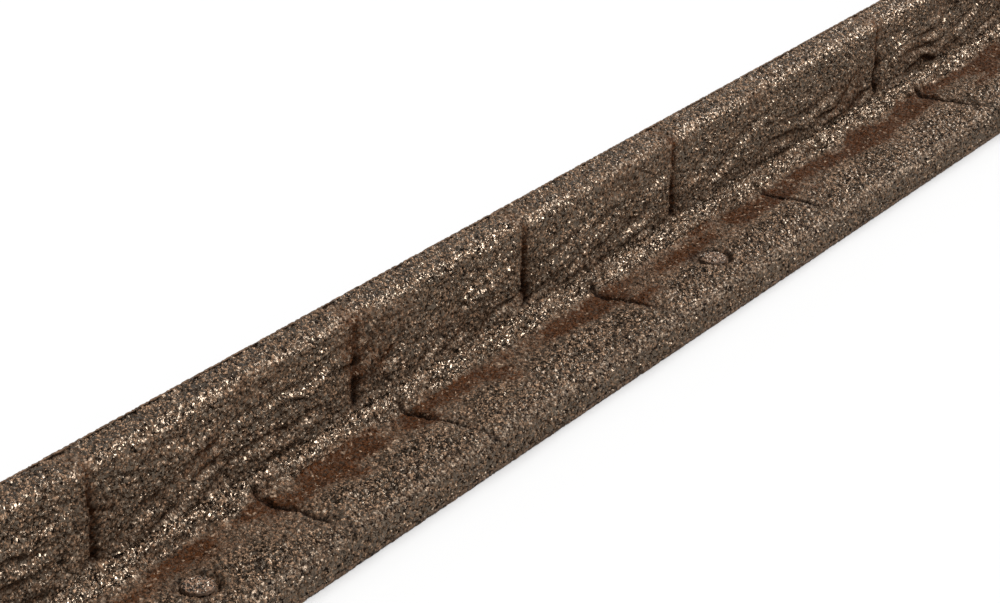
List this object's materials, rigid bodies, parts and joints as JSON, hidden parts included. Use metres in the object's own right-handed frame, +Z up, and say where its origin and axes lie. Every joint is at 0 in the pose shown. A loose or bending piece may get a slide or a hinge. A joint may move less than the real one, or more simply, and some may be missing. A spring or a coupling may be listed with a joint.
{
  "type": "landscape edging section",
  "caption": "L-shaped crumb-rubber landscape edging section with a stone-faced wall and foot, pinned down through round dimples by steel ground spikes.",
  "frame": {"origin": "middle of the underside, at ground level, half way along the section and half way across its depth", "axes": "+X along the section, -Y to the front where the foot is, +Y to the planting bed behind the wall, +Z up"},
  "size_m": [1.219, 0.089, 0.3099],
  "materials": {
    "black_crumb": "black granulated tyre rubber, bound and moulded, matt with small sparkles",
    "brown_crumb": "brown granulated rubber, bound and moulded, satin granules with reddish recesses",
    "spike_steel": "brown painted steel, worn to grey on the head"
  },
  "bodies": {
    "edging": {"base": "black_crumb", "facing": "brown_crumb"},
    "left_spike": {"spike_left": "spike_steel"},
    "middle_spike": {"spike_middle": "spike_steel"},
    "right_spike": {"spike_right": "spike_steel"}
  },
  "joints": [
    {"name": "left_spike_slide", "type": "slide", "parent": "edging", "child": "left_spike", "axis": [0, 0, 1], "range_m": [0, 0.23]},
    {"name": "middle_spike_slide", "type": "slide", "parent": "edging", "child": "middle_spike", "axis": [0, 0, 1], "range_m": [0, 0.23]},
    {"name": "right_spike_slide", "type": "slide", "parent": "edging", "child": "right_spike", "axis": [0, 0, 1], "range_m": [0, 0.23]}
  ]
}
